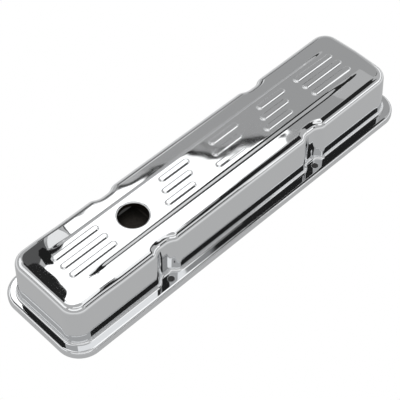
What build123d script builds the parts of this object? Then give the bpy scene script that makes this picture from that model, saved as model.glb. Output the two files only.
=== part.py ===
from build123d import *
from math import atan, cos, radians, sin, tan
import os

# Engine valve cover, deep-drawn from one sheet of steel and chrome plated.
# Millimetres. X runs along the cover, Y across it, Z up from the bottom edge of
# the flange lip. The origin is at that level, under the middle of the cover.

# overall sizes
overall_length = 470.0
overall_width = 122.0
panel_height = 63.0
sheet = 1.2

# gasket flange round the open side, with its outer edge turned down
flange_height = 8.0
flange_corner = 26.5
lip_bend = 3.5
foot_bend = 3.0

# drawn walls, measured at the bottom of the lip, leaning in as they rise
end_ledge = 8.9
side_ledge = 10.9
wall_length = overall_length - 2 * end_ledge
wall_width = overall_width - 2 * side_ledge
wall_corner = 20.0
wall_lean = 2.4
top_bend = 9.0

# four bolts, each with a recess in the wall that makes room for its head
bolt_row_length = 208.8
bolt_stand_off = 1.3
bolt_row_width = wall_width + 2 * bolt_stand_off
bolt_hole = 7.2
recess_foot_depth = 7.5
recess_top_depth = 3.0
recess_flank = 14.0
recess_flat = 6.0

# top: a raised centre panel between two lower shoulders
panel_width = 48.0
panel_step = 3.0
panel_step_run = 5.5
shoulder_fall = 1.5
panel_fade_start = overall_length / 2 - 75
panel_fade_end = overall_length / 2 - 43
end_fall_start = panel_fade_end
end_fall_share = 0.75

# beads pressed up out of the panel
bead_height = 1.5
bead_width = 7.4
bead_lean = 40.0
bead_bend = 0.8
bead_pitch = 13.2
end_bead_length = 58.0
end_bead_margin = 39.0
end_bead_start = overall_length / 2 - end_bead_margin - end_bead_length
middle_bead_length = 40.0
middle_bead_shift = 8.0
middle_bead_groups = 3
bead_group_gap = 9.0

# breather hole, its edge turned down into a collar
breather_bore = 31.0
breather_gap = 18.1
breather_x = breather_bore / 2 + breather_gap - end_bead_start
breather_bend = 2.0
collar_depth = 6.0

# oil baffle, a bent strip spot-welded inside the cover below the breather
baffle_sheet = 1.0
baffle_length = 61.0
baffle_width = 38.0
baffle_foot = 9.0
baffle_floor = 34.0
baffle_drop = 15.0
baffle_bend = 2.5

os.makedirs("parts", exist_ok=True)


def smooth(t):
    """Ease from 0 to 1 with level ends."""
    t = min(max(t, 0.0), 1.0)
    return t * t * (3 - 2 * t)


def top_height(x, y):
    """Height of the pressed top, without its beads, above the point x, y."""
    rim = panel_height - panel_step - shoulder_fall
    across = min(abs(y) / (wall_width / 2), 1.15)
    crowned = rim + (panel_height - rim) * (1 - across**2.5)
    shoulder = panel_height - panel_step - shoulder_fall * across**2
    rise = smooth((panel_width / 2 + panel_step_run / 2 - abs(y)) / panel_step_run)
    stepped = shoulder + (panel_height - shoulder) * rise
    fade = smooth((abs(x) - panel_fade_start) / (panel_fade_end - panel_fade_start))
    height = stepped + (crowned - stepped) * fade
    run_out = overall_length / 2 - end_fall_start
    fall = end_fall_share * smooth((abs(x) - end_fall_start) / run_out)
    return rim + (height - rim) * (1 - fall)


def section(x, drop):
    """Outline across the cover at x: the pressed top over a plain block."""
    side = wall_width / 2 + 3
    low = flange_height / 2
    outer = (panel_width + panel_step_run) / 2
    inner = (panel_width - panel_step_run) / 2
    stops = (-side, -outer, -inner, inner, outer, side)
    edges = []
    for start, end in zip(stops, stops[1:]):
        steps = [start + (end - start) * i / 8 for i in range(9)]
        edges.append(Spline(*[(x, y, top_height(x, y) - drop) for y in steps]))
    near_top = (x, -side, top_height(x, side) - drop)
    far_top = (x, side, top_height(x, side) - drop)
    edges.append(Line(far_top, (x, side, low)))
    edges.append(Line((x, side, low), (x, -side, low)))
    edges.append(Line((x, -side, low), near_top))
    return Wire(edges)


def block(drop):
    """Solid under the pressed top, a little larger than the walls."""
    fade = (panel_fade_end - panel_fade_start) / 4
    last = overall_length / 2 + 5
    stations = [0, panel_fade_start * 0.375, panel_fade_start * 0.75]
    stations += [panel_fade_start + fade * i for i in range(5)]
    stations += [end_fall_start + (last - end_fall_start) * i / 3 for i in (1, 2, 3)]
    both = [-x for x in reversed(stations[1:])] + stations
    return Solid.make_loft([section(x, drop) for x in both])


def recess_edges(middle, wall_y, depth, inset):
    """Outline of one bolt recess: two S-shaped flanks and the flat between."""
    turn = 2 * atan(depth / recess_flank)
    level = wall_y + inset
    floor = wall_y + depth + inset
    half_flat = recess_flat / 2
    start = (middle - half_flat - recess_flank, level)
    end = (middle + half_flat + recess_flank, level)
    flat_start = (middle - half_flat, floor)
    flat_end = (middle + half_flat, floor)
    reach = half_flat + recess_flank / 2 + inset * sin(turn)
    bend_y = wall_y + depth / 2 + inset * cos(turn)
    bend_in = (middle - reach, bend_y)
    bend_out = (middle + reach, bend_y)
    return [
        TangentArc(start, bend_in, tangent=(1, 0)),
        TangentArc(flat_start, bend_in, tangent=(-1, 0)),
        Line(flat_start, flat_end),
        TangentArc(flat_end, bend_out, tangent=(1, 0)),
        TangentArc(end, bend_out, tangent=(-1, 0)),
    ]


def wall_outline(inset, depth):
    """Closed outline of the walls, moved in by the inset."""
    x = wall_length / 2 - inset
    y = wall_width / 2 - inset
    corner = wall_corner - inset
    bolt = bolt_row_length / 2
    reach = recess_flat / 2 + recess_flank
    near = [
        Line((-x, 0), (-x, corner - y)),
        TangentArc((-x, corner - y), (corner - x, -y), tangent=(0, -1)),
        Line((corner - x, -y), (-bolt - reach, -y)),
        *recess_edges(-bolt, -wall_width / 2, depth, inset),
        Line((-bolt + reach, -y), (bolt - reach, -y)),
        *recess_edges(bolt, -wall_width / 2, depth, inset),
        Line((bolt + reach, -y), (x - corner, -y)),
        TangentArc((x - corner, -y), (x, corner - y), tangent=(1, 0)),
        Line((x, corner - y), (x, 0)),
    ]
    far = [edge.mirror(Plane.XZ) for edge in near]
    return Wire(near + far)


def walls(inset):
    """Solid between the leaning walls, taller than the cover."""
    tall = panel_height + 6
    lean = wall_lean * tall / panel_height
    foot = wall_outline(inset, recess_foot_depth)
    head = wall_outline(inset + lean, recess_top_depth)
    return Solid.make_loft([foot, Pos(0, 0, tall) * head], ruled=True)


def bead_places():
    """Middle and length of every bead on the panel."""
    field_start = breather_x + breather_bore / 2 + bead_group_gap
    field_end = end_bead_start - bead_group_gap
    pitch = (field_end - field_start) / middle_bead_groups
    places = []
    for row in (-1, 0, 1):
        y = row * bead_pitch
        x = end_bead_start + end_bead_length / 2
        places.append((-x, y, end_bead_length))
        places.append((x, y, end_bead_length))
        for group in range(middle_bead_groups):
            middle = field_start + pitch * (group + 0.5)
            places.append((middle + row * middle_bead_shift, y, middle_bead_length))
    return places


def bead(x, y, length, inset):
    """One bead, or for an inset its hollow in the underside of the sheet."""
    sunk = 0.6
    narrow = inset * tan(radians(90 - bead_lean) / 2)
    spread = sunk * tan(radians(bead_lean)) - narrow
    plan = SlotOverall(length + 2 * spread, bead_width + 2 * spread)
    foot = Pos(x, y, panel_height - inset - sunk) * plan
    raised = extrude(foot, amount=bead_height + sunk, taper=bead_lean)
    if inset > 0:
        return raised
    return fillet(raised.faces().sort_by(Axis.Z)[-1].edges(), bead_bend)


def at_foot(inset):
    """Test for the edges where the walls stand on the flange."""
    level = flange_height - inset

    def test(edge):
        middle = edge.center()
        inside = abs(middle.Y) < wall_width / 2 and abs(middle.X) < wall_length / 2
        return abs(middle.Z - level) < 0.01 and inside

    return test


def at_rim(edge):
    """Test for the edges where the walls meet the pressed top."""
    middle = edge.center()
    outside = abs(middle.Y) > 0.7 * wall_width / 2 or abs(middle.X) > panel_fade_end
    return middle.Z > panel_height - 12 and outside


def form(inset):
    """Outside of the cover, or for an inset the space under its sheet."""
    body = walls(inset) & block(inset)
    body = fillet(body.edges().filter_by(at_rim), top_bend - inset)
    plan = RectangleRounded(
        overall_length - 2 * inset,
        overall_width - 2 * inset,
        flange_corner - inset,
    )
    flange = extrude(plan, amount=flange_height - inset)
    flange = fillet(flange.faces().sort_by(Axis.Z)[-1].edges(), lip_bend - inset)
    joined = flange + body
    joined = fillet(joined.edges().filter_by(at_foot(inset)), foot_bend + inset)
    return joined + [bead(x, y, length, inset) for x, y, length in bead_places()]


def breather_mouth():
    """What is taken away to roll the edge of the breather hole over."""
    bore = breather_bore / 2
    above = panel_height + 1
    start = (bore, panel_height - breather_bend)
    end = (bore + breather_bend, panel_height + 0.01)
    section = [
        TangentArc(start, end, tangent=(0, 1)),
        Line(end, (end[0], above)),
        Line((end[0], above), (0, above)),
        Line((0, above), (0, start[1])),
        Line((0, start[1]), start),
    ]
    return revolve(Plane.XZ * make_face(section), Axis.Z)


def add_breather(shell):
    """Open the breather hole and turn its edge down into a collar."""
    bore = breather_bore / 2
    drawn = collar_depth - sheet / 2
    collar = Pos(0, 0, -sheet / 2 - drawn / 2) * Cylinder(bore + sheet, drawn)
    opening = Cylinder(bore, 3 * collar_depth)
    place = Pos(breather_x, 0, panel_height)
    shell = shell + place * collar
    shell = shell - place * opening
    return shell - Pos(breather_x, 0, 0) * breather_mouth()


def cover():
    """The whole pressed cover."""
    shell = add_breather(form(0) - form(sheet))
    pattern = GridLocations(bolt_row_length, bolt_row_width, 2, 2)
    bolts = [place * Cylinder(bolt_hole / 2, 4 * flange_height) for place in pattern]
    return shell - bolts


def baffle():
    """Hat-shaped strip welded under the breather hole to catch thrown oil."""
    top = panel_height - sheet
    centre = breather_x
    outline = Polyline(
        (centre - baffle_length / 2, top - baffle_sheet / 2),
        (centre - baffle_length / 2 + baffle_foot, top - baffle_sheet / 2),
        (centre - baffle_floor / 2, top - baffle_drop),
        (centre + baffle_floor / 2, top - baffle_drop),
        (centre + baffle_length / 2 - baffle_foot, top - baffle_sheet / 2),
        (centre + baffle_length / 2, top - baffle_sheet / 2),
    )
    middle = fillet(outline.vertices()[1:-1], baffle_bend)
    strip = trace(middle, baffle_sheet)
    return extrude(Plane.XZ * strip, amount=baffle_width / 2, both=True)


shell = cover()
welded = baffle() - shell
export_step(shell, "parts/cover_shell.step")
export_step(welded, "parts/oil_baffle.step")
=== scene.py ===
# %% [markdown]
# # A chromed steel valve cover
# A valve cover is one sheet of steel, drawn over a die into a long box with a flange, trimmed,
# pierced and then chrome plated. Chrome has no colour of its own: all that is seen in it is
# the room. So two things make the picture here, a skin whose bends are truly round, and a
# simple studio for it to mirror.

import math

import bpy
import numpy as np
from mathutils import Matrix, Vector
from mathutils.geometry import delaunay_2d_cdt


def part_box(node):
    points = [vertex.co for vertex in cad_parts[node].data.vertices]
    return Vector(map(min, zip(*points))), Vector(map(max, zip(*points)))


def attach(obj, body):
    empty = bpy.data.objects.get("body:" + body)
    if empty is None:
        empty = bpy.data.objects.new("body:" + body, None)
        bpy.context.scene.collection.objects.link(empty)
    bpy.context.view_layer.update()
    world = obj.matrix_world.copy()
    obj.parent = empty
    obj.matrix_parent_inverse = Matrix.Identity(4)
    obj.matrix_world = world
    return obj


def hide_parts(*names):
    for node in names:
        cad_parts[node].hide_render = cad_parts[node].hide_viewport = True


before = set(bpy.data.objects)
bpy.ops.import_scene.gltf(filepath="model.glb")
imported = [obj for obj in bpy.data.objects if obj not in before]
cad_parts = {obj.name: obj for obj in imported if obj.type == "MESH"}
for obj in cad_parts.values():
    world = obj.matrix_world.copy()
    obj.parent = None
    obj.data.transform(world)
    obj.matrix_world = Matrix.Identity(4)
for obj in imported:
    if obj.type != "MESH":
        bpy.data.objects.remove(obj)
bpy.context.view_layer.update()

# %% [markdown]
# ## Sizes of the pressing
# The skin is worked out from the same dimensions as the die. They are written in millimetres,
# as on a drawing, and the finished mesh is scaled to metres in one place. The overall size is
# read from the frame, so that the skin fills the same box as the solid that it stands for. The
# walls stand back from the edge of the flange, and every other size comes with its own shape.

# %% Overall sizes, in millimetres
PER_METRE = 1000
low_corner, high_corner = (np.array(corner) * PER_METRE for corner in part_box("cover_shell"))
LENGTH, WIDTH = (high_corner - low_corner)[:2]
BEAD_HEIGHT = 1.5
PANEL_HEIGHT = high_corner[2] - BEAD_HEIGHT
SHEET = 1.2
WALL_LENGTH = LENGTH - 17.8
WALL_WIDTH = WIDTH - 21.8
print(f"cover {LENGTH:.1f} x {WIDTH:.1f} mm, panel at {PANEL_HEIGHT:.1f} mm")

# %% [markdown]
# ## The shape of the top
# On the real cover the middle of the top is pressed up into a flat panel, with a lower shoulder
# on each side. The step between them fades out before the ends, where the top is a gentle crown
# that falls towards the rim. It could be sculpted, but a mirror shows every dent of the hand.
# One formula gives the height for every x and y instead. It takes whole arrays, so it serves
# for the points, and its slope gives their normals. The two ends fade differently.

# %% Sizes of the top
PANEL_HALF = 24.0
STEP_DROP = 3.0
STEP_RUN = 5.5
SHOULDER_FALL = 0.5
FADE_START = {"breather end": LENGTH / 2 - 75, "plain end": LENGTH / 2 - 92}
FADE_END = {"breather end": LENGTH / 2 - 43, "plain end": LENGTH / 2 - 32}
CROWN_POWER = {"breather end": 2.5, "plain end": 1.25}
CROWN_REACH = 1.15
END_FALL = 0.75
print(f"panel {2 * PANEL_HALF:.0f} mm wide, {STEP_DROP:.0f} mm above its shoulders")


# %% Height of the pressed top
def smooth(t):
    """Ease from 0 to 1 with level ends."""
    t = np.clip(t, 0, 1)
    return t * t * (3 - 2 * t)


def by_end(x, sizes):
    """The size that holds at each X, from one value for each end."""
    return np.where(np.asarray(x) < 0, sizes["breather end"], sizes["plain end"])


def top_height(x, y):
    """Height of the pressed top, without beads."""
    rim = PANEL_HEIGHT - STEP_DROP - SHOULDER_FALL
    across = np.minimum(np.abs(y) / (WALL_WIDTH / 2), CROWN_REACH)
    crowned = rim + (PANEL_HEIGHT - rim) * (1 - across ** by_end(x, CROWN_POWER))
    shoulder = PANEL_HEIGHT - STEP_DROP - SHOULDER_FALL * across**2
    rise = smooth((PANEL_HALF + STEP_RUN / 2 - np.abs(y)) / STEP_RUN)
    stepped = shoulder + (PANEL_HEIGHT - shoulder) * rise
    start = by_end(x, FADE_START)
    end = by_end(x, FADE_END)
    height = stepped + (crowned - stepped) * smooth((np.abs(x) - start) / (end - start))
    fall = END_FALL * smooth((np.abs(x) - end) / (LENGTH / 2 - end))
    return rim + (height - rim) * (1 - fall)


print(f"top height in the middle {top_height(0, 0):.2f}, at the rim {top_height(0, WALL_WIDTH / 2):.2f} mm")

# %% [markdown]
# ## Beads
# Beads stiffen the thin sheet and keep it from drumming. Three long ones lie at each end, and
# three groups of three shorter ones, set in a slant, fill the panel beyond the breather hole.
# A Boolean could join ridges on, but it would leave a sharp seam where steel has a round. Seen
# from above a bead is every point within a certain distance of a short line, so its height
# needs only that distance. Its side is a slope with a round at its foot and another at its top,
# because steel can't fold sharply. The rounds are tighter on the underside.

# %% Where the beads lie
BEAD_PITCH = 13.2
END_BEAD = 58.0
END_MARGIN = 39
END_BEAD_START = LENGTH / 2 - END_MARGIN - END_BEAD
MIDDLE_BEAD = 40.0
BEAD_SHIFT = 8.0
BEAD_MARGIN = 9
GROUPS = 3
BREATHER_X = -104.4
BREATHER_BORE = 15.5


def bead_places():
    """Middle, row and length of each bead."""
    field_start = BREATHER_X + BREATHER_BORE + BEAD_MARGIN
    field_end = END_BEAD_START - BEAD_MARGIN
    pitch = (field_end - field_start) / GROUPS
    end_x = END_BEAD_START + END_BEAD / 2
    places = []
    for row in (-1, 0, 1):
        places.append((-end_x, row * BEAD_PITCH, END_BEAD))
        places.append((end_x, row * BEAD_PITCH, END_BEAD))
        for group in range(GROUPS):
            x = field_start + pitch * (group + 0.5) + row * BEAD_SHIFT
            places.append((x, row * BEAD_PITCH, MIDDLE_BEAD))
    return places


print(len(bead_places()), "beads")

# %% The side of a bead
BEAD_HALF = 3.7
BEAD_SLOPE = math.radians(50)
OUTSIDE_BENDS = (0.9, 0.8)
UNDERSIDE_BENDS = (0.5, 0.4)


def bead_side(inset):
    """Distance from the bead's middle line, height and slope, from its foot up to its flat."""
    low_bend, high_bend = OUTSIDE_BENDS if inset == 0 else UNDERSIDE_BENDS
    low_reach = low_bend * math.tan(BEAD_SLOPE / 2)
    high_reach = high_bend * math.tan(BEAD_SLOPE / 2)
    foot = BEAD_HALF - inset * math.tan(BEAD_SLOPE / 2)
    head = foot - BEAD_HEIGHT / math.tan(BEAD_SLOPE)
    steps = []
    for turn in np.linspace(0, BEAD_SLOPE, 6):
        distance = foot + low_reach - low_bend * math.sin(turn)
        steps.append((distance, low_bend * (1 - math.cos(turn)), turn))
    for turn in np.linspace(BEAD_SLOPE, 0, 7):
        distance = head - high_reach + high_bend * math.sin(turn)
        steps.append((distance, BEAD_HEIGHT - high_bend * (1 - math.cos(turn)), turn))
    return steps


print(len(bead_side(0)), "rings from the foot of a bead to its flat")

# %% [markdown]
# ## The walls
# Seen from above the walls are lines and arcs, with an S-shaped dip at each bolt, which leaves
# room for the bolt's head and a spanner. The dip is deeper at the foot than at the head and the
# whole wall leans in, so that the die lets go of it. An extruded curve would stand upright all
# round, so every point of the outline is found twice instead, low and high, and the wall is the
# straight line between the two.

# %% Lines and arcs
RIGHT = math.pi / 2


def arc(centre, radius, start, end, count):
    """Points of an arc, without its last one."""
    angles = np.linspace(start, end, count, endpoint=False)
    return np.array(centre) + radius * np.column_stack([np.cos(angles), np.sin(angles)])


def line(start, end, count):
    """Points of a line, without its last one."""
    share = np.linspace(0, 1, count, endpoint=False)[:, None]
    return np.array(start) * (1 - share) + np.array(end) * share


print("points on a quarter turn:", len(arc((0, 0), 1, 0, RIGHT, 9)))

# %% One bolt recess
RECESS_FOOT = 7.5
RECESS_HEAD = 3.0
RECESS_FLANK = 14.0
RECESS_FLAT = 6.0


def recess(middle, depth, inset):
    """Points of one bolt recess in the near wall."""
    turn = 2 * math.atan(depth / RECESS_FLANK)
    radius = RECESS_FLANK / (2 * math.sin(turn))
    wall = -WALL_WIDTH / 2
    half = RECESS_FLAT / 2
    outer_y = wall + radius
    inner_y = wall + depth - radius
    far = half + RECESS_FLANK
    floor = wall + depth + inset
    return [
        arc((middle - far, outer_y), radius - inset, -RIGHT, turn - RIGHT, 9),
        arc((middle - half, inner_y), radius + inset, RIGHT + turn, RIGHT, 9),
        line((middle - half, floor), (middle + half, floor), 4),
        arc((middle + half, inner_y), radius + inset, RIGHT, RIGHT - turn, 9),
        arc((middle + far, outer_y), radius - inset, -RIGHT - turn, -RIGHT, 9),
    ]


print("points on one recess:", sum(len(run) for run in recess(0, RECESS_FOOT, 0)))

# %% Outline of the walls
WALL_CORNER = 20.0
BOLT_X = 104.4


def wall_outline(inset, depth):
    """Closed outline of the walls from above, anticlockwise."""
    x = WALL_LENGTH / 2 - inset
    y = WALL_WIDTH / 2 - inset
    round_x = WALL_LENGTH / 2 - WALL_CORNER
    round_y = WALL_WIDTH / 2 - WALL_CORNER
    radius = WALL_CORNER - inset
    far = RECESS_FLAT / 2 + RECESS_FLANK
    near = [
        line((-x, 0), (-x, -round_y), 10),
        arc((-round_x, -round_y), radius, 2 * RIGHT, 3 * RIGHT, 26),
        line((-round_x, -y), (-BOLT_X - far, -y), 16),
        *recess(-BOLT_X, depth, inset),
        line((-BOLT_X + far, -y), (BOLT_X - far, -y), 34),
        *recess(BOLT_X, depth, inset),
        line((BOLT_X + far, -y), (round_x, -y), 16),
        arc((round_x, -round_y), radius, 3 * RIGHT, 4 * RIGHT, 26),
        line((x, -round_y), (x, 0), 10),
    ]
    half = np.vstack(near)
    return np.vstack([half, -half])


print("points round the walls:", len(wall_outline(0, RECESS_FOOT)))

# %% The leaning wall
WALL_LEAN = 2.4
WALL_TOP = PANEL_HEIGHT + 6


def unit(vectors):
    """Vectors scaled to length one."""
    return vectors / np.linalg.norm(vectors, axis=-1, keepdims=True)


class Walls:
    """The leaning wall as points and outward normals at any height."""

    def __init__(self, inset):
        lean = WALL_LEAN * WALL_TOP / PANEL_HEIGHT
        self.foot = wall_outline(inset, RECESS_FOOT)
        self.head = wall_outline(inset + lean, RECESS_HEAD)

    def at(self, height):
        """Points and normals at one height, or at a height for each point."""
        share = (np.broadcast_to(height, len(self.foot)) / WALL_TOP)[:, None]
        plan = self.foot * (1 - share) + self.head * share
        along = np.roll(plan, -1, 0) - np.roll(plan, 1, 0)
        along = np.column_stack([along, np.zeros(len(plan))])
        rise = np.column_stack([self.head - self.foot, np.full(len(plan), WALL_TOP)])
        points = np.column_stack([plan, share[:, 0] * WALL_TOP])
        return points, unit(np.cross(along, rise))


head_x = Walls(0).at(PANEL_HEIGHT)[0][:, 0].max()
print(f"each end wall leans in {WALL_LENGTH / 2 - head_x:.1f} mm up to the panel's height")

# %% [markdown]
# ## Bends between two faces
# A press leaves a bend of one radius wherever two faces meet. Blender's bevel could round a
# coarse mesh, but it keeps the width of a bend and not its radius, so the bend would tighten
# wherever the faces meet at another angle. A ball rolled along the corner is exact: it touches
# both faces, and the bend is the part of its surface between the two touching points. The wall
# is searched for the height at which the ball just touches both.


# %% A bend and the slope of the top
def bend(centre, radius, first, last, steps):
    """Rings of points on balls about the centres, swung from one direction to another."""
    swing = np.arccos(np.clip((first * last).sum(-1), -1, 1))[:, None]
    rings = []
    for share in np.linspace(0, 1, steps + 1):
        way = unit(np.sin((1 - share) * swing) * first + np.sin(share * swing) * last)
        rings.append((centre + radius * way, way))
    return rings


def top_normal(height, x, y):
    """Upward normal of a height formula, from its slope over a short span."""
    span = 0.02
    along_x = (height(x + span, y) - height(x - span, y)) / (2 * span)
    along_y = (height(x, y + span) - height(x, y - span)) / (2 * span)
    return unit(np.column_stack([-along_x, -along_y, np.ones_like(along_x)]))


step_slope = top_normal(top_height, np.array([0.0]), np.array([PANEL_HALF]))[0, 2]
print(f"steepest slope of the step: {math.degrees(math.acos(step_slope)):.0f} degrees")

# %% The bend at the rim
RIM_BEND = 9.0
SEARCH_START = PANEL_HEIGHT - 14.0
SEARCH_ROUNDS = 30
TOUCH_ROUNDS = 4


def rim_bend(walls, inset, steps):
    """Rings of the bend between the walls and the top, from the wall up."""
    radius = RIM_BEND - inset
    height = np.full(len(walls.foot), SEARCH_START)
    for _ in range(SEARCH_ROUNDS):
        point, out = walls.at(height)
        centre = point - radius * out
        up = np.tile([0.0, 0.0, 1.0], (len(point), 1))
        for _ in range(TOUCH_ROUNDS):
            touch = centre + radius * up
            up = top_normal(top_height, touch[:, 0], touch[:, 1])
        touch = centre + radius * up
        height = height - (touch[:, 2] - (top_height(touch[:, 0], touch[:, 1]) - inset))
    return bend(centre, radius, out, up, steps)


trial = rim_bend(Walls(0), 0, 4)
print(f"rim bend from {trial[0][0][:, 2].min():.2f} to {trial[-1][0][:, 2].max():.2f} mm")

# %% The bend at the foot
FLANGE_HEIGHT = 8.0
FOOT_BEND = 3.0
FOOT_ROUNDS = 10


def foot_bend(walls, inset, steps):
    """Rings of the bend between the flange and the walls, from the flange up."""
    radius = FOOT_BEND + inset
    level = FLANGE_HEIGHT - inset
    height = np.full(len(walls.foot), level + radius)
    for _ in range(FOOT_ROUNDS):
        point, out = walls.at(height)
        height = level + radius - radius * out[:, 2]
    centre = point + radius * out
    down = np.tile([0.0, 0.0, -1.0], (len(point), 1))
    rings = bend(centre, radius, down, -out, steps)
    return [(points, -normals) for points, normals in rings]


trial = foot_bend(Walls(0), 0, 4)
print(f"foot bend up to {trial[-1][0][:, 2].max():.2f} mm")

# %% Outline of the flange
FLANGE_CORNER = 26.5


def flange_outline(inset):
    """Outline of the flange from above, anticlockwise."""
    x = LENGTH / 2 - FLANGE_CORNER
    y = WIDTH / 2 - FLANGE_CORNER
    radius = FLANGE_CORNER - inset
    corners = [(-x, -y, 2 * RIGHT), (x, -y, 3 * RIGHT), (x, y, 0.0), (-x, y, RIGHT)]
    runs = []
    for i, (cx, cy, turn) in enumerate(corners):
        runs.append(arc((cx, cy), radius, turn, turn + RIGHT, 28))
        reach = radius * np.array([math.cos(turn + RIGHT), math.sin(turn + RIGHT)])
        nx, ny, _ = corners[(i + 1) % 4]
        runs.append(line((cx, cy) + reach, (nx, ny) + reach, 40 if i % 2 == 0 else 10))
    return np.vstack(runs)


print("points round the flange:", len(flange_outline(0)))

# %% [markdown]
# ## Building the skin
# The skin is gathered ring by ring. Neighbouring rings of equal length are joined with strips
# of quads, and a flat or gently domed area between rings is filled with a triangulation of its
# plan. Every point keeps the exact normal of the surface that it came from, which is what
# keeps mirror finishes free of ripples that a coarse mesh would show. Every face also keeps the
# number of its finish, because chrome takes well only where the bath's current reaches; the
# third finish, on the collar in the breather hole, is painted shade.


# %% A skin made of rings and filled areas
# The third finish is painted shade: the collar inside the breather hole is coloured dark for the shadow
# there.
BRIGHT, DULL, PAINTED_SHADE = range(3)
INSIDE_WITHOUT_HOLES = 2
SAME_POINT = 1e-7


class Skin:
    """Points, normals, faces and finishes of one mesh, in millimetres."""

    def __init__(self):
        self.points = []
        self.normals = []
        self.faces = []
        self.finishes = []

    def face(self, corners, inner):
        """Adds one face; the underside's are dull and face the other way."""
        self.faces.append(tuple(corners[::-1] if inner else corners))
        self.finishes.append(DULL if inner else BRIGHT)

    def ring(self, points, normals):
        """Adds a ring of points and returns their numbers."""
        start = len(self.points)
        self.points.extend(map(tuple, points))
        self.normals.extend(map(tuple, normals))
        return list(range(start, len(self.points)))

    def stack(self, rings, inner):
        """Rings one above another, joined by strips of quads; returns the first and last."""
        made = [self.ring(points, -normals if inner else normals) for points, normals in rings]
        for lower, upper in zip(made, made[1:]):
            for i in range(len(lower)):
                j = (i + 1) % len(lower)
                self.face((lower[i], lower[j], upper[j], upper[i]), inner)
        return made[0], made[-1]

    def fill(self, outer, holes, extra, height, inner):
        """Fills the plan between rings, with extra points set to the height formula."""
        plan = [self.points[i][:2] for i in outer]
        loops = [list(range(len(outer)))]
        known = list(outer)
        for hole in holes:
            loops.append(list(range(len(plan), len(plan) + len(hole))))
            plan += [self.points[i][:2] for i in hole]
            known += hole
        if len(extra):
            normals = top_normal(height, extra[:, 0], extra[:, 1])
            levels = height(extra[:, 0], extra[:, 1])
            known += self.ring(np.column_stack([extra, levels]), -normals if inner else normals)
            plan += [tuple(p) for p in extra]
        plan = [Vector(p) for p in plan]
        made = delaunay_2d_cdt(plan, [], loops, INSIDE_WITHOUT_HOLES, SAME_POINT)
        faces = made[2]
        origin = made[3]
        for face in faces:
            self.face([known[origin[i][0]] for i in face], inner)


NO_POINTS = np.empty((0, 2))
trial = Skin()
square = trial.ring([(0, 0, 0), (1, 0, 0), (1, 1, 0), (0, 1, 0)], [(0, 0, 1)] * 4)
trial.fill(square, [], NO_POINTS, top_height, False)
print("a filled square has", len(trial.faces), "faces")

# %% [markdown]
# ## One bead, one rolled hole
# Each bead is a stack of slot-shaped rings that climbs from the panel, and its flat is filled
# at the end. Holes are stacks of circles: the edge rolls over, runs down the bore and comes
# back under the sheet, so that the cut edge of the steel is really there. At the breather the
# edge is turned down into a collar, which grips the breather's rubber grommet. A Screw modifier
# could turn a hole from its section, but rings can be joined to the sheet round them.

# %% Rings of a bead
END_POINTS = 13
SIDE_POINTS = 10


def slot_ring(middle, row, half_run, distance):
    """Points at a distance round a short line along X, with their outward directions."""
    turns = np.linspace(-RIGHT, RIGHT, END_POINTS)
    right = np.column_stack([np.cos(turns), np.sin(turns)])
    straight = np.linspace(half_run, -half_run, SIDE_POINTS + 2)[1:-1]
    far = np.column_stack([straight, np.zeros(SIDE_POINTS)])
    up = np.tile([0.0, 1.0], (SIDE_POINTS, 1))
    end = np.tile([half_run, 0], (END_POINTS, 1))
    ways = np.vstack([right, up, -right, -up])
    hubs = np.vstack([end, far, -end, -far])
    return hubs + distance * ways + (middle, row), ways


def add_bead(skin, place, height, inset, inner):
    """Raises one bead and returns the ring at its foot."""
    middle, row, length = place
    rings = []
    for distance, rise, turn in bead_side(inset):
        plan, ways = slot_ring(middle, row, length / 2 - BEAD_HALF, distance)
        slope = top_normal(height, plan[:, 0], plan[:, 1])
        slope = slope / slope[:, 2:]
        slope[:, :2] += math.tan(turn) * ways
        level = height(plan[:, 0], plan[:, 1]) + rise
        rings.append((np.column_stack([plan, level]), unit(slope)))
    foot, head = skin.stack(rings, inner)
    skin.fill(head, [], NO_POINTS, height, inner)
    return foot


trial = Skin()
add_bead(trial, bead_places()[0], top_height, 0, False)
print("one bead:", len(trial.faces), "faces")


# %% Rings of a hole
def turned(centre, profile, count):
    """Rings turned about an upright axis from (radius, height, normal angle) steps."""
    turns = np.linspace(0, 4 * RIGHT, count, endpoint=False)
    ways = np.column_stack([np.cos(turns), np.sin(turns)])
    rings = []
    for radius, level, angle in profile:
        points = np.column_stack([ways * radius + centre, np.full(count, level)])
        normals = np.column_stack([ways * math.cos(angle), np.full(count, math.sin(angle))])
        rings.append((points, normals))
    return rings


def round_corner(radius, level, size, first, last, steps, hollow=False):
    """Profile steps of a round about a point; a hollow round faces its centre."""
    facing = math.pi if hollow else 0.0
    profile = []
    for turn in np.linspace(first, last, steps + 1):
        out = size * math.cos(turn)
        up = size * math.sin(turn)
        profile.append((radius + out, level + up, turn + facing))
    return profile


print("steps of a rounded edge:", len(round_corner(BREATHER_BORE, 0, 1, 0, RIGHT, 10)))

# %% Profiles of the collar and of a bolt hole
BREATHER_BEND = 2.0
COLLAR_DEPTH = 6.0
COLLAR_EDGE = 0.3
COLLAR_ROOT = 0.8
collar_outside = BREATHER_BORE + SHEET
roll_level = PANEL_HEIGHT - BREATHER_BEND
edge_level = PANEL_HEIGHT - COLLAR_DEPTH + COLLAR_EDGE
root_level = PANEL_HEIGHT - SHEET - COLLAR_ROOT
collar = [
    *round_corner(BREATHER_BORE + BREATHER_BEND, roll_level, BREATHER_BEND, RIGHT, 2 * RIGHT, 10),
    *round_corner(BREATHER_BORE + COLLAR_EDGE, edge_level, COLLAR_EDGE, 2 * RIGHT, 3 * RIGHT, 3),
    *round_corner(collar_outside - COLLAR_EDGE, edge_level, COLLAR_EDGE, -RIGHT, 0, 3),
    *round_corner(collar_outside + COLLAR_ROOT, root_level, COLLAR_ROOT, 2 * RIGHT, RIGHT, 4, hollow=True),
]

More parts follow.
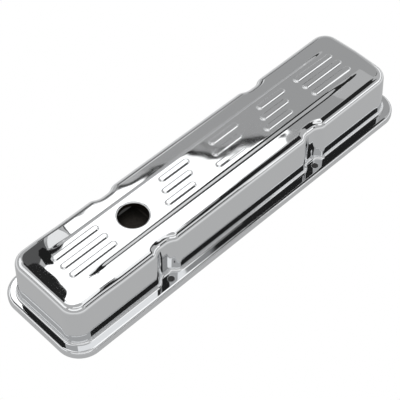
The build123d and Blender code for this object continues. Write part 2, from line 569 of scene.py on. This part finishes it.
BOLT_HOLE = 3.6
BOLT_EDGE = 0.35
BOLT_UNDER_EDGE = 0.2
upper_level = FLANGE_HEIGHT - BOLT_EDGE
under_level = FLANGE_HEIGHT - SHEET + BOLT_UNDER_EDGE
bolt_profile = [
    *round_corner(BOLT_HOLE + BOLT_EDGE, upper_level, BOLT_EDGE, RIGHT, 2 * RIGHT, 4),
    *round_corner(BOLT_HOLE + BOLT_UNDER_EDGE, under_level, BOLT_UNDER_EDGE, 2 * RIGHT, 3 * RIGHT, 3),
]
print("collar profile steps:", len(collar), "bolt hole steps:", len(bolt_profile))

# %% [markdown]
# ## Filling the top
# One big face between the rings would be flat, and a real top is domed. It needs points where it
# curves: many rows across the narrow steps, few on the flats. A lattice with uneven rows gives
# this, and what falls too near a ring is dropped.


# %% Distance to a ring
def distance_to_ring(points, ring):
    """Distance of each point to a closed ring, negative outside it."""
    a = ring[None]
    b = np.roll(ring, -1, 0)[None]
    p = points[:, None]
    run = b - a
    share = np.clip(((p - a) * run).sum(-1) / (run**2).sum(-1), 0, 1)[..., None]
    gap = np.linalg.norm(p - a - share * run, axis=-1).min(1)
    spans = (a[..., 1] > p[..., 1]) != (b[..., 1] > p[..., 1])
    rise = np.where(run[..., 1] == 0, 1, run[..., 1])
    cross_x = a[..., 0] + (p[..., 1] - a[..., 1]) / rise * run[..., 0]
    crossings = (spans & (p[..., 0] < cross_x)).sum(1)
    return np.where(crossings % 2 == 1, gap, -gap)


middle_gap = distance_to_ring(np.array([[0.0, 0.0]]), flange_outline(0))[0]
print(f"from the middle of the cover to the flange's edge: {middle_gap:.1f} mm")

# %% Filler points for the top
PANEL_ROWS = [0, 2.2, 4.4, 6.6, 8.8, 11, 13.2, 15.4, 17.8, 19.6]
STEP_ROWS = np.linspace(PANEL_HALF - STEP_RUN / 2, PANEL_HALF + STEP_RUN / 2, 12)
SHOULDER_ROWS = np.arange(28.5, 44, 2)
END_CLEARANCE = 18
COLUMNS = np.linspace(-LENGTH / 2 + END_CLEARANCE, LENGTH / 2 - END_CLEARANCE, 141)
RIM_CLEARANCE = 0.9
CLEARANCE = 0.7


def top_filler(ring, bead_reach):
    """Lattice points inside the ring and clear of the beads and the breather hole."""
    rows = np.concatenate([PANEL_ROWS, STEP_ROWS, SHOULDER_ROWS])
    rows = np.concatenate([-rows[:0:-1], rows])
    points = np.stack(np.meshgrid(COLUMNS, rows), -1).reshape(-1, 2)
    clear = distance_to_ring(points, ring) > RIM_CLEARANCE
    for middle, row, length in bead_places():
        off = np.abs(points[:, 0] - middle) - (length / 2 - BEAD_HALF)
        gap = np.hypot(np.maximum(off, 0), points[:, 1] - row)
        clear &= gap > bead_reach + CLEARANCE
    hole_gap = np.hypot(points[:, 0] - BREATHER_X, points[:, 1])
    clear &= hole_gap > BREATHER_BORE + BREATHER_BEND + CLEARANCE
    return points[clear]


print("lattice rows on one half of the top:", len(PANEL_ROWS) + len(STEP_ROWS) + len(SHOULDER_ROWS))

# %% [markdown]
# ## The whole skin
# Outside and underside are the same recipe at two insets. The lip's edge, the collar and the
# bolt holes join them, which makes one closed sheet, 1.2 mm thick, as a pressing is. A Solidify
# modifier could thicken one side instead, but it would not round the cut edges.


# %% The two sides of the sheet
def add_side(skin, inset, inner, rim_steps, wall_steps, foot_steps):
    """One side of the sheet, with its open rings, filler points and height formula."""
    walls = Walls(inset)

    def height(x, y):
        return top_height(x, y) - inset

    rings = foot_bend(walls, inset, foot_steps)
    rim = rim_bend(walls, inset, rim_steps)
    low = rings[-1][0][:, 2]
    high = rim[0][0][:, 2]
    for share in np.linspace(0, 1, wall_steps + 1)[1:-1]:
        rings.append(walls.at(low + (high - low) * share))
    foot_ring, rim_ring = skin.stack(rings + rim, inner)
    beads = [add_bead(skin, place, height, inset, inner) for place in bead_places()]
    plan = np.array([skin.points[i][:2] for i in rim_ring])
    filler = top_filler(plan, bead_side(inset)[0][0])
    return {"foot": foot_ring, "rim": rim_ring, "beads": beads, "filler": filler, "height": height}


skin = Skin()
outer = add_side(skin, 0, False, rim_steps=16, wall_steps=10, foot_steps=8)
inner = add_side(skin, SHEET, True, rim_steps=10, wall_steps=8, foot_steps=6)
print(len(skin.faces), "faces in the walls, bends and beads of both sides")

# %% Join them at the breather and the bolts
COLLAR_POINTS = 96
BRIGHT_STRIPS = 8
BOLT_POINTS = 40
BOLT_Y = WALL_WIDTH / 2 + 1.3
# Below its bright rolled edge the collar takes the dark finish, painted shade deep in the hole.
shaded_from = len(skin.faces) + BRIGHT_STRIPS * COLLAR_POINTS
breather_top, breather_under = skin.stack(turned((BREATHER_X, 0), collar, COLLAR_POINTS), False)
skin.finishes[shaded_from:] = [PAINTED_SHADE] * (len(skin.faces) - shaded_from)
bolts = [(x, y) for x in (-BOLT_X, BOLT_X) for y in (-BOLT_Y, BOLT_Y)]
bolt_rings = [skin.stack(turned(bolt, bolt_profile, BOLT_POINTS), False) for bolt in bolts]
bolt_tops, bolt_unders = zip(*bolt_rings)
print(len(bolt_rings), "bolt holes and", skin.finishes.count(PAINTED_SHADE), "stained collar faces")

# %% [markdown]
# ## The lip
# The flange's edge is turned down into a lip, which stiffens it and hides the gasket. In section
# the lip is four rounds: the bend as seen from below, two small rounds at the cut edge, and the
# bend as seen from above. The straight parts appear by themselves between one and the next. A
# section swept along a curve would look the same, but rings share the flange's own points.

# %% Fold the lip
LIP_BEND = 3.5
LIP_EDGE = 0.35


def lip_ring(inset, level, way_out, way_up):
    """One ring of the lip, with its normal as outward and upward shares."""
    plan = flange_outline(inset)
    along = np.roll(plan, -1, 0) - np.roll(plan, 1, 0)
    out = unit(np.column_stack([along[:, 1], -along[:, 0]]))
    normals = np.column_stack([out * way_out, np.full(len(plan), way_up)])
    return np.column_stack([plan, np.full(len(plan), level)]), normals


def lip_round(inset, level, size, first, last, steps, facing=1):
    """Rings of one round of the lip about a point, from one direction to another."""
    rings = []
    for turn in np.linspace(first, last, steps + 1):
        out = math.cos(turn)
        up = math.sin(turn)
        rings.append(lip_ring(inset - size * out, level + size * up, facing * out, facing * up))
    return rings


bend_level = FLANGE_HEIGHT - LIP_BEND
lip = [
    *lip_round(LIP_BEND, bend_level, LIP_BEND - SHEET, RIGHT, 0, 6, facing=-1),
    *lip_round(SHEET - LIP_EDGE, LIP_EDGE, LIP_EDGE, 2 * RIGHT, 3 * RIGHT, 3),
    *lip_round(LIP_EDGE, LIP_EDGE, LIP_EDGE, -RIGHT, 0, 3),
    *lip_round(LIP_BEND, bend_level, LIP_BEND, 0, RIGHT, 10),
]
lip_under, lip_top = skin.stack(lip, False)
print("the lip is", len(lip), "rings")

# %% Fill the flange and the top
skin.fill(lip_top, [outer["foot"], *bolt_tops], NO_POINTS, outer["height"], False)
skin.fill(lip_under, [inner["foot"], *bolt_unders], NO_POINTS, inner["height"], True)
skin.fill(outer["rim"], [*outer["beads"], breather_top], outer["filler"], outer["height"], False)
skin.fill(inner["rim"], [*inner["beads"], breather_under], inner["filler"], inner["height"], True)
print(len(skin.points), "points and", len(skin.faces), "faces")

# %% [markdown]
# ## From rings to a mesh
# Blender can work out smooth normals by averaging the faces round each point, but where a bend
# meets a flat the average is wrong and a mirror shows it as a crease. The normals kept with the
# points are handed over as custom normals instead. The mesh is scaled to metres here.


# %% Turn the skin into a Blender mesh
def skin_object(skin, name, materials):
    """The skin in metres, with its own normals and one material for each finish."""
    mesh = bpy.data.meshes.new(name)
    mesh.from_pydata((np.array(skin.points) / PER_METRE).tolist(), [], skin.faces)
    for material in materials:
        mesh.materials.append(material)
    mesh.polygons.foreach_set("use_smooth", np.ones(len(mesh.polygons), bool))
    mesh.polygons.foreach_set("material_index", np.array(skin.finishes, np.int32))
    mesh.update()
    mesh.normals_split_custom_set_from_vertices(np.array(skin.normals).tolist())
    piece = bpy.data.objects.new(name, mesh)
    bpy.context.scene.collection.objects.link(piece)
    return piece


corner_counts = [len(face) for face in skin.faces]
print(corner_counts.count(4), "quads and", corner_counts.count(3), "triangles")

# %% [markdown]
# ## Shader helpers
# A node graph is easier to read as arithmetic than as a list of links. `Wire` wraps one socket and
# turns `+` and `*` into Math nodes, also when the number stands on the left. `add_node` makes
# every other node from its type, its settings and what goes into its sockets.


# %% One socket as a value, one way to add nodes
class Wire:
    """One shader socket; arithmetic on it adds Math nodes."""

    def __init__(self, tree, socket):
        self.tree = tree
        self.socket = socket

    def _math(self, operation, other):
        return add_node(self.tree, "ShaderNodeMath", {"operation": operation}, (self, other))[0]

    def __add__(self, other):
        return self._math("ADD", other)

    def __mul__(self, other):
        return self._math("MULTIPLY", other)

    __radd__ = __add__
    __rmul__ = __mul__

    def into(self, shader, name):
        """Links the socket to a named input of a shader."""
        self.tree.links.new(self.socket, shader.inputs[name])


def add_node(tree, kind, settings, inputs):
    """Adds a node, sets it up and feeds its sockets by name or in order; returns its outputs."""
    node = tree.nodes.new(kind)
    for name, value in settings.items():
        setattr(node, name, value)
    pairs = inputs.items() if isinstance(inputs, dict) else enumerate(inputs)
    for key, value in pairs:
        if isinstance(value, Wire):
            tree.links.new(value.socket, node.inputs[key])
        else:
            node.inputs[key].default_value = value
    return [Wire(tree, socket) for socket in node.outputs]


sample = bpy.data.node_groups.new("sample", "ShaderNodeTree")
number = add_node(sample, "ShaderNodeValue", {}, {})[0]
result = 2 * number + 1
print("2 * number + 1 took", len(sample.nodes), "nodes and ends in", result.socket.node.operation)
bpy.data.node_groups.remove(sample)

# %% [markdown]
# ## Chrome
# The finish is bright chrome over nickel: almost a mirror, a little cool in colour. Two faults keep
# it from looking like glass. Pressed sheet is never quite flat, so a slow noise tips the surface by
# a fraction of a degree and makes the edges of reflections wander. Polish is never quite even, so a
# finer noise moves the roughness between 0.012 and 0.04.


# %% Chrome
def new_material(name, **values):
    """A material with one Principled shader, whose constant sockets are set here."""
    material = bpy.data.materials.new(name)
    material.use_nodes = True
    shader = material.node_tree.nodes["Principled BSDF"]
    for socket, value in values.items():
        shader.inputs[socket.replace("_", " ")].default_value = value
    return material, material.node_tree, shader


def noise(tree, scale, detail):
    """Noise from 0 to 1 fixed to the piece; a scale of 100 gives patches about a centimetre wide."""
    place = add_node(tree, "ShaderNodeTexCoord", {}, {})[3]
    settings = {"Vector": place, "Scale": scale, "Detail": detail}
    return add_node(tree, "ShaderNodeTexNoise", {}, settings)[0]


SMOOTHEST = 0.012
POLISH_DRIFT = 0.03
chrome, tree, shader = new_material("bright_chrome", Base_Color=(0.80, 0.81, 0.82, 1), Metallic=1.0)
dents = {"Strength": 0.35, "Distance": 0.0004, "Height": noise(tree, 28.0, 1.0)}
add_node(tree, "ShaderNodeBump", {}, dents)[0].into(shader, "Normal")
(noise(tree, 90.0, 4.0) * POLISH_DRIFT + SMOOTHEST).into(shader, "Roughness")
print(chrome.name, "has", len(tree.nodes), "nodes")

# %% [markdown]
# ## The inside
# Inside, the cover hangs over splashing oil and nobody polishes it. The plating there is thin and
# dull, with brown oil staining in soft patches. Only the rolled edge of the breather hole is bright;
# the collar below it is painted a far darker brown than the inside, as painted shade for the
# shadow deep in the hole. Colour and roughness come from the same noise, because on the real
# sheet the stained patches are the rough ones.


# %% Dull and stained metal, and painted shade
def blend(tree, share, first, second):
    """One colour turning into another as the share goes from 0 to 1."""
    return add_node(tree, "ShaderNodeMix", {"data_type": "RGBA"}, {0: share, 6: first, 7: second})[2]


def stained_and_shaded_metal(name, paler, darker, scale, roughness):
    """Metal whose colour and roughness drift together from a paler part to a darker one."""
    smooth_part, rough_part = roughness
    material, tree, shader = new_material(name, Metallic=0.9)
    share = noise(tree, scale, 5.0)
    blend(tree, share, (*paler, 1), (*darker, 1)).into(shader, "Base Color")
    (share * (rough_part - smooth_part) + smooth_part).into(shader, "Roughness")
    return material


dull = stained_and_shaded_metal(
    "dull_plating",
    paler=(0.42, 0.41, 0.39),
    darker=(0.20, 0.16, 0.12),
    scale=60.0,
    roughness=(0.24, 0.46),
)
# The collar's dark brown is painted shade, for the shadow deep in the breather hole.
bore = stained_and_shaded_metal(
    "painted_shade_collar",
    paler=(0.11, 0.085, 0.065),
    darker=(0.03, 0.024, 0.02),
    scale=160.0,
    roughness=(0.30, 0.50),
)
print("made", dull.name, "and", bore.name)

# %% [markdown]
# ## The baffle
# The baffle under the breather is plain steel, welded in. Its near-black colour is painted shade,
# for the dark inside of the cover seen through the breather hole, with a fine grey grain over it,
# so its noise is finer and its roughness higher than the plating's. The piece itself comes from
# the frame unchanged.

# %% Dress the baffle
# The baffle's near-black colour is painted shade, for the dark inside of the cover.
steel = stained_and_shaded_metal(
    "painted_shade_steel",
    paler=(0.075, 0.068, 0.06),
    darker=(0.032, 0.028, 0.025),
    scale=420.0,
    roughness=(0.50, 0.70),
)
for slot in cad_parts["oil_baffle"].material_slots:
    slot.material = steel
print("oil_baffle dressed in", steel.name)

# %% [markdown]
# ## The cover in its place
# The skin takes the place of the shell in the frame. It has three materials, in the order in which
# the finishes are numbered: bright, dull and painted shade. It rides on the body that never moves.

# %% Place the skin
cover = skin_object(skin, "chrome_cover", [chrome, dull, bore])
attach(cover, "root")
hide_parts("cover_shell")
print(cover.name, "dressed in", [material.name for material in cover.data.materials])

# %% [markdown]
# ## Studio
# Chrome has no colour of its own: what it shows is the room. So the room is built for the metal, as
# a product studio does it. The cover stands in a tent of grey paper with one large softbox behind
# it, black card round the softbox's edges, and a white strip over the front. The black cards matter
# most, because without them a mirror in a pale room looks like grey plastic.
#
# Lamps would light a matt piece, but a mirror shows the outline of every light. So each light, black
# card and floor here is a thin mesh that gives off one even grey, which can be cut to any shape and
# moved by itself. The first is the white floor, which only the lens sees.


# %% A thin mesh of one grey, and the white floor
def tone(grey):
    """Plain light of one grey."""
    material = bpy.data.materials.new(f"tone_{grey}")
    material.use_nodes = True
    tree = material.node_tree
    tree.nodes.clear()
    light = add_node(tree, "ShaderNodeEmission", {}, {"Color": (grey, grey, grey, 1), "Strength": 1.0})
    add_node(tree, "ShaderNodeOutputMaterial", {}, {"Surface": light[0]})
    return material


def studio_piece(name, points, faces, grey):
    """A thin mesh that gives off one grey, part of the studio and not of the cover."""
    mesh = bpy.data.meshes.new(name)
    mesh.from_pydata(points, [], faces)
    mesh.materials.append(tone(grey))
    piece = bpy.data.objects.new(name, mesh)
    bpy.context.scene.collection.objects.link(piece)
    return piece


def flat_sheet(name, x, y, z, grey):
    """A level rectangle centred on the cover, from its half length and half width in metres."""
    corners = [(-x, -y, z), (x, -y, z), (x, y, z), (-x, y, z)]
    return studio_piece(name, corners, [(0, 1, 2, 3)], grey)


PURE_WHITE = 1.0
FLOOR_HALF = 4.0
floor = flat_sheet("floor", FLOOR_HALF, FLOOR_HALF, 0, PURE_WHITE)
floor.visible_glossy = False
floor.visible_diffuse = False
print(f"{floor.name}: {2 * FLOOR_HALF:.0f} m square")

# %% [markdown]
# ## The floor in the chrome
# A white floor mirrored in the walls would make them vanish into the background. So the metal
# sees a second floor a millimetre lower, in nested sheets that grow paler outwards, as paper does
# when it runs from a shadow into the light. One dark sheet, just above the white floor and under
# the cover, is a painted shadow: it stands for the shade under the cover, so that no white shows
# through the holes.

# %% The floor that the metal sees
DARK_GREY = 0.04
SHADE_HALF_LENGTH = 0.2
SHADE_HALF_WIDTH = 0.0595
SHADE_LIFT = 0.0004
FLOOR_STEPS = 16
FIRST_REACH = 0.06
REACH_GROWTH = 5.0
FIRST_DEPTH = 0.001
DEPTH_STEP = 0.0002
FIRST_GREY = 0.5
GREY_GAIN = 0.35

# Painted shadow: a dark sheet under the cover stands for the shade there, so no white shows through the
# holes.
flat_sheet("shade_under_cover", SHADE_HALF_LENGTH, SHADE_HALF_WIDTH, SHADE_LIFT, DARK_GREY)
half_length = LENGTH / 2 / PER_METRE
half_width = WIDTH / 2 / PER_METRE
for step in range(FLOOR_STEPS):
    share = step / (FLOOR_STEPS - 1)
    reach = FIRST_REACH * REACH_GROWTH**share if share < 1 else FLOOR_HALF
    depth = FIRST_DEPTH + DEPTH_STEP * step
    grey = round(FIRST_GREY + GREY_GAIN * share, 3)
    name = f"floor_seen_in_chrome_{step}"
    mirrored = flat_sheet(name, half_length + reach, half_width + reach, -depth, grey)
    mirrored.visible_camera = False
print("the metal sees", FLOOR_STEPS, "floor sheets, from grey", FIRST_GREY, "to", grey)

# %% [markdown]
# ## Cards
# Each card is laid out by direction seen from the cover, since a reflection depends on direction
# and hardly on distance: an azimuth from +X towards +Y and an elevation, both in degrees. A card
# has a foot and a head, which are lists of such directions, a layer and a grey. All hang far
# off, on layers a metre apart, and a low layer hangs in front, so a black card can cover the edge
# of a bright one. Greys above 1 are lights. The lens never sees the cards.


# %% Cards laid out by direction
ROOM = 40.0
BLACK = 0.02
SOFT_BLACK = 0.03
WHITE = 1.1
BRIGHT_WHITE = 1.3


def heading(azimuth, elevation, distance):
    """A point in a direction from the cover."""
    a = math.radians(azimuth)
    e = math.radians(elevation)
    run = distance * math.cos(e)
    return (run * math.cos(a), run * math.sin(a), distance * math.sin(e))


def raised(edge, step):
    """The same edge, some degrees higher."""
    return [(a, e + step) for a, e in edge]


def card(name, foot, head, layer, grey):
    """A card bent round the cover between its foot and its head."""
    count = len(foot)
    points = [heading(a, e, ROOM + layer) for a, e in foot + head]
    faces = [(i, i + 1, count + i + 1, count + i) for i in range(count - 1)]
    piece = studio_piece(name, points, faces, grey)
    piece.visible_camera = False
    piece.visible_diffuse = False
    piece.visible_shadow = False
    print(f"{name}: azimuth {foot[0][0]} to {foot[-1][0]}, layer {layer}, grey {grey}")


print("azimuth 45, elevation 50 is at", [round(c, 1) for c in heading(45, 50, ROOM)], "m")

# %% [markdown]
# ## The softbox
# From where the lens stands, the flat panel mirrors only a small part of the room behind the
# cover. The softbox's foot crosses that part, so the panel is white at the breather end and grey
# at the plain end. The foot wanders, as the edge of cloth stretched on a frame does, and a thin
# black frame along its middle gives the change from white to grey a crisp edge.

# %% The softbox behind the cover
SOFTBOX_FOOT = [
    *[(14, 61), (20, 60.5), (25, 60), (30, 59), (33, 57), (35.5, 54), (37, 51.5), (38.2, 50)],
    *[(39.2, 48.6), (43.3, 48.4), (45.3, 49.1), (49, 48.5), (52, 48.7), (55.5, 49.5), (60, 49.9)],
    *[(62, 52.6), (65, 54.3), (69, 54.4), (73.5, 56)],
]
SOFTBOX_HEAD = [(a, 74 + 0.12 * (a - 25)) for a, _ in SOFTBOX_FOOT]
SOFTBOX_LIGHT = 1.6
FRAMED = SOFTBOX_FOOT[8:15]
FRAME_WIDTH = 0.45
card("softbox", SOFTBOX_FOOT, SOFTBOX_HEAD, 4, SOFTBOX_LIGHT)
card("softbox_frame", raised(FRAMED, -FRAME_WIDTH), FRAMED, 3, BLACK)

# %% [markdown]
# ## Over the front
# The near step and the bend at the near rim turn towards the front, so they mirror what hangs
# there: a white strip high up, and below it a black card, which draws the long dark line along
# the near step. A grey edge between the two softens the change.

# %% White strip and black card over the front
FRONT_HEAD = [
    *[(-78, 48), (-62, 53), (-50, 54), (-44, 55), (-31, 60)],
    *[(-22, 61.6), (-12, 63), (5, 63.8), (14, 63.5)],
]
FRONT_FOOT = [
    *[(-78, 47), (-62, 41), (-51, 40), (-43, 42), (-33, 44.5)],
    *[(-22, 52), (-12, 54.5), (5, 54.5), (14, 53)],
]
FRONT_RIM = [(-150, 55), (-100, 54), (-78, 54), (-62, 55)] + raised(FRONT_HEAD[2:], 2)
card("front_light", FRONT_RIM, raised(FRONT_RIM, 12), 4, WHITE)
card("front_half", FRONT_HEAD[1:], raised(FRONT_HEAD[1:], 2), 4, 0.35)
card("front_dark", FRONT_FOOT, FRONT_HEAD, 2, BLACK)
card("front_low_light", [(-80, 20), (-58, 22)], [(-70, 45), (-50, 42)], 4, 0.8)

# %% [markdown]
# ## Low over the front
# The near sides of the beads are the steepest slopes of the top, so they mirror the lowest part
# of the room. A black and a white card side by side there give them dark edges on the white
# half of the panel and bright edges on the grey half.

# %% Cards for the sides of the beads
card("bead_dark", [(-74, 13), (-66, 13), (-60.5, 13)], [(-74, 24), (-66, 24), (-60.5, 23)], 3, SOFT_BLACK)
card("bead_light", [(-60.5, 12), (-52, 11), (-44, 10)], [(-60.5, 23), (-52, 24), (-44, 26)], 3, BRIGHT_WHITE)

# %% [markdown]
# ## Round the two ends
# The ends of the top are crowned, so each spreads a wider part of the room over a few
# centimetres. A black card next to a light one gives each end its dark bend.

# %% Cards at the plain end and at the breather end
card("right_half", [(14, 56), (25, 54), (33, 53)], [(14, 61), (25, 60), (33, 57)], 5, 0.6)
card("right_dark", [(14, 54), (20, 52.6), (24, 52)], [(14, 58), (20, 57), (24, 56)], 2, BLACK)
card("corner_dark", [(17, 45), (22, 42.5), (24.5, 45)], [(17, 50), (21, 50), (24.5, 49)], 1, BLACK)

LEFT_HEAD = [
    *[(65.5, 64.6), (69.5, 65), (72, 65), (75, 65.2), (84, 65.8)],
    *[(94, 65.8), (106, 65.2), (117, 63), (126, 60)],
]
LEFT_FOOT = [
    *[(65.5, 62.7), (69.3, 60), (71.2, 56.5), (72.6, 50), (84, 52)],
    *[(93, 53), (103, 54.5), (113, 55), (122, 55.5)],
]
card("left_light", LEFT_HEAD, raised(LEFT_HEAD, 16), 4, BRIGHT_WHITE)
card("left_dark", LEFT_FOOT, LEFT_HEAD, 2, BLACK)

# %% [markdown]
# ## Low behind the cover
# The far shoulder and the start of the far step lean away from the lens, so they mirror what is
# below the softbox. Plain paper there would leave them one flat grey, so a few small dark and
# pale cards break it up.

# %% Cards below the softbox
FAR_DARK_FOOT = [(61, 44), (64, 43), (67, 44.5), (69, 48)]
FAR_DARK_HEAD = [(61, 50.5), (64, 54), (67, 54.4), (70, 54.6)]
FAR_SHADE_FOOT = [(60, 38), (66, 38), (71, 44), (74, 50)]
FAR_SHADE_HEAD = [(60, 44), (66, 45), (69, 50), (73.5, 55)]
FAR_GREY_FOOT = [(26, 28), (40, 28), (52, 38), (60, 40)]
FAR_GREY_HEAD = [(26, 49), (36, 49.3), (50, 48.6), (58, 46)]
card("far_dark", FAR_DARK_FOOT, FAR_DARK_HEAD, 2, 0.015)
card("far_shade", FAR_SHADE_FOOT, FAR_SHADE_HEAD, 3, 0.10)
card("far_low_dark", [(61, 22), (69, 22)], [(60.5, 35), (67, 35)], 3, DARK_GREY)
card("far_grey", FAR_GREY_FOOT, FAR_GREY_HEAD, 6, 0.38)
card("far_wedge", [(48.5, 40.3), (53, 39.4), (57, 38.6)], [(49.5, 46.5), (53, 47.5), (58, 43)], 5, 0.95)
card("far_step_dark", [(50, 23), (55, 23), (61, 24)], [(50, 31), (55, 32), (61, 35)], 5, DARK_GREY)

# %% [markdown]
# ## Light for the other sides
# The cards so far serve one view. From behind or from an end the chrome would mirror nothing but
# grey paper, so a light strip hangs low on each of the other sides, with a dark edge below it.

# %% Strips round the other sides
STRIP_EDGE = 3


def strip(name, foot, height):
    """A light strip with a narrow dark card along its foot."""
    card(name, foot, raised(foot, height), 6, WHITE)
    card(name + "_frame", raised(foot, -STRIP_EDGE), foot, 6, SOFT_BLACK)


strip("rear_strip", [(88, 26), (105, 22), (130, 20), (155, 22), (175, 26)], 22)
strip("side_strip", [(-170, 26), (-150, 22), (-125, 22), (-104, 24), (-90, 28)], 20)
strip("end_strip", [(-42, 8), (-20, 6), (5, 6), (22, 8)], 16)

# %% [markdown]
# ## Grey paper all round
# Whatever no card covers shows the world, which is one even middle grey, like a paper tent. A
# sky there would be as easy, and it would tint the chrome blue.

# %% The paper tent
world = bpy.data.worlds.new("studio")
bpy.context.scene.world = world
world.use_nodes = True
paper = world.node_tree.nodes["Background"].inputs
paper["Color"].default_value = (0.5, 0.5, 0.5, 1)
paper["Strength"].default_value = 1.0
print("world grey:", [round(part, 2) for part in paper["Color"].default_value])

# %% [markdown]
# ## Camera
# A catalogue picture is taken with a long lens from over one corner, so that the top, a side and
# an end all show and the far end hardly shrinks. The camera is pointed by turning its -Z axis
# towards a point on the cover, and then rolled a little about its own axis. The view transform
# is Standard, because a filmic one would turn the white floor grey.

# %% Camera
CAMERA_PLACE = Vector((-0.5941, -0.6127, 1.0416))
CAMERA_AIM = Vector((-0.0268, -0.0128, 0.030))
CAMERA_ROLL = math.radians(-1.069)
SENSOR = 36
FOCAL_PIXELS = 1290.2
PICTURE_PIXELS = 400

eye = bpy.data.cameras.new("camera")
eye.sensor_width = SENSOR
eye.lens = SENSOR * FOCAL_PIXELS / PICTURE_PIXELS
camera = bpy.data.objects.new("camera", eye)
camera.location = CAMERA_PLACE
turn = (CAMERA_AIM - CAMERA_PLACE).to_track_quat("-Z", "Y").to_matrix()
camera.rotation_euler = (turn @ Matrix.Rotation(CAMERA_ROLL, 3, "Z")).to_euler()
bpy.context.scene.collection.objects.link(camera)
bpy.context.scene.camera = camera
bpy.context.scene.view_settings.view_transform = "Standard"
print(f"lens {eye.lens:.0f} mm, {(CAMERA_AIM - CAMERA_PLACE).length:.2f} m from the cover")
